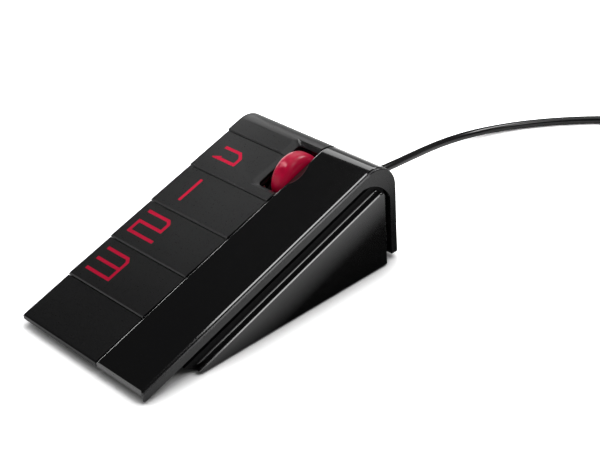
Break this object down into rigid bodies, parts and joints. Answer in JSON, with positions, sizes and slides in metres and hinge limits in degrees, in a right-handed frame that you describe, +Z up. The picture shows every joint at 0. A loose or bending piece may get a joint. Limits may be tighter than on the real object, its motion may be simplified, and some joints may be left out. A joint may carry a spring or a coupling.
{
  "type": "desk controller",
  "caption": "Wedge-shaped corded desk controller with tilting keys, a gloss side panel and a scroll wheel that turns and presses.",
  "frame": {"origin": "on the floor under the middle of the housing, between its front edge and its rear wall", "axes": "+Z up, +Y from the low front edge to the high rear wall, +X to the right as its user faces it"},
  "size_m": [0.1075, 0.2391, 0.0356],
  "materials": {
    "key_plastic": "satin",
    "legend_crimson": "satin",
    "panel_gloss": "gloss",
    "shell_satin": "satin",
    "base_satin": "satin",
    "side_gloss": "gloss",
    "wheel_crimson": "semi-gloss",
    "steel": "satin",
    "board_green": "satin",
    "chip_black": "matte",
    "connector_white": "satin",
    "inner_plastic": "matte",
    "switch_black": "matte",
    "button_white": "satin",
    "foot_rubber": "matte",
    "cable_jacket": "satin",
    "tie_nylon": "satin",
    "plug_black": "satin",
    "plug_metal": "polished"
  },
  "bodies": {
    "housing": {"ballast_plate": "steel", "ballast_screws": "steel", "base_shell": "base_satin", "board_screws": "steel", "bracket_screws": "steel", "cable": "cable_jacket", "cable_boot": "cable_jacket", "cable_coil": "cable_jacket", "cable_header": "connector_white", "cable_tie": "tie_nylon", "clock_crystal": "steel", "controller_chip": "chip_black", "deck_shell": "shell_satin", "foot_front_left": "foot_rubber", "foot_front_right": "foot_rubber", "foot_rear_left": "foot_rubber", "foot_rear_right": "foot_rubber", "front_pad": "key_plastic", "gloss_panel": "panel_gloss", "header_plug": "connector_white", "housing_screws": "steel", "inner_lead": "cable_jacket", "key_hinge_rod": "steel", "main_board": "board_green", "plug_body": "plug_black", "plug_shell": "plug_metal", "rear_cap": "key_plastic", "side_plate_left": "side_gloss", "side_plate_right": "side_gloss", "switch_1": "switch_black", "switch_2": "switch_black", "switch_3": "switch_black", "switch_return": "switch_black", "wheel_board": "board_green", "wheel_bracket": "inner_plastic", "wheel_lead": "cable_jacket", "wheel_switch": "switch_black", "yoke_pin": "steel"},
    "key_3": {"key_3": "key_plastic", "legend_3": "legend_crimson"},
    "button_3": {"switch_button_3": "button_white"},
    "key_2": {"key_2": "key_plastic", "legend_2": "legend_crimson"},
    "button_2": {"switch_button_2": "button_white"},
    "key_1": {"key_1": "key_plastic", "legend_1": "legend_crimson"},
    "button_1": {"switch_button_1": "button_white"},
    "key_return": {"key_return": "key_plastic", "legend_return": "legend_crimson"},
    "button_return": {"switch_button_return": "button_white"},
    "yoke": {"wheel_yoke": "inner_plastic", "wheel_axle": "steel", "sensor_emitter": "chip_black", "sensor_receiver": "chip_black"},
    "wheel": {"wheel_tyre": "wheel_crimson", "wheel_hub": "inner_plastic"},
    "wheel_button": {"wheel_switch_button": "button_white"}
  },
  "joints": [
    {"name": "key_3_tilt", "type": "hinge", "parent": "housing", "child": "key_3", "pos_m": [0.012, -0.02409, 0.00946], "axis": [0, -0.9494, -0.314], "range_deg": [0, 0.9], "stiffness_Nm_per_rad": 3},
    {"name": "button_3_press", "type": "slide", "parent": "housing", "child": "button_3", "axis": [0, 0.314, -0.9494], "range_m": [0, 0.00052]},
    {"name": "key_2_tilt", "type": "hinge", "parent": "housing", "child": "key_2", "pos_m": [0.012, -0.007, 0.01512], "axis": [0, -0.9494, -0.314], "range_deg": [0, 0.9], "stiffness_Nm_per_rad": 3},
    {"name": "button_2_press", "type": "slide", "parent": "housing", "child": "button_2", "axis": [0, 0.314, -0.9494], "range_m": [0, 0.00052]},
    {"name": "key_1_tilt", "type": "hinge", "parent": "housing", "child": "key_1", "pos_m": [0.012, 0.01009, 0.02077], "axis": [0, -0.9494, -0.314], "range_deg": [0, 0.9], "stiffness_Nm_per_rad": 3},
    {"name": "button_1_press", "type": "slide", "parent": "housing", "child": "button_1", "axis": [0, 0.314, -0.9494], "range_m": [0, 0.00052]},
    {"name": "key_return_tilt", "type": "hinge", "parent": "housing", "child": "key_return", "pos_m": [0.012, 0.02718, 0.02642], "axis": [0, -0.9494, -0.314], "range_deg": [0, 0.9], "stiffness_Nm_per_rad": 3},
    {"name": "button_return_press", "type": "slide", "parent": "housing", "child": "button_return", "axis": [0, 0.314, -0.9494], "range_m": [0, 0.00052]},
    {"name": "wheel_press", "type": "hinge", "parent": "housing", "child": "yoke", "pos_m": [0.0042, 0.02182, 0.01803], "axis": [-1, 0, 0], "range_deg": [0, 2], "stiffness_Nm_per_rad": 1},
    {"name": "wheel_spin", "type": "hinge", "parent": "yoke", "child": "wheel", "pos_m": [0.0042, 0.03322, 0.02663], "axis": [-1, 0, 0], "continuous": true},
    {"name": "wheel_button_press", "type": "slide", "parent": "housing", "child": "wheel_button", "axis": [0, 0, -1], "range_m": [0, 0.0004]}
  ],
  "couplings": [
    {"joint": "button_3_press", "follows": "key_3_tilt", "m_per_rad": 0.032},
    {"joint": "button_2_press", "follows": "key_2_tilt", "m_per_rad": 0.032},
    {"joint": "button_1_press", "follows": "key_1_tilt", "m_per_rad": 0.032},
    {"joint": "button_return_press", "follows": "key_return_tilt", "m_per_rad": 0.032},
    {"joint": "wheel_button_press", "follows": "wheel_press", "m_per_rad": 0.0109}
  ]
}
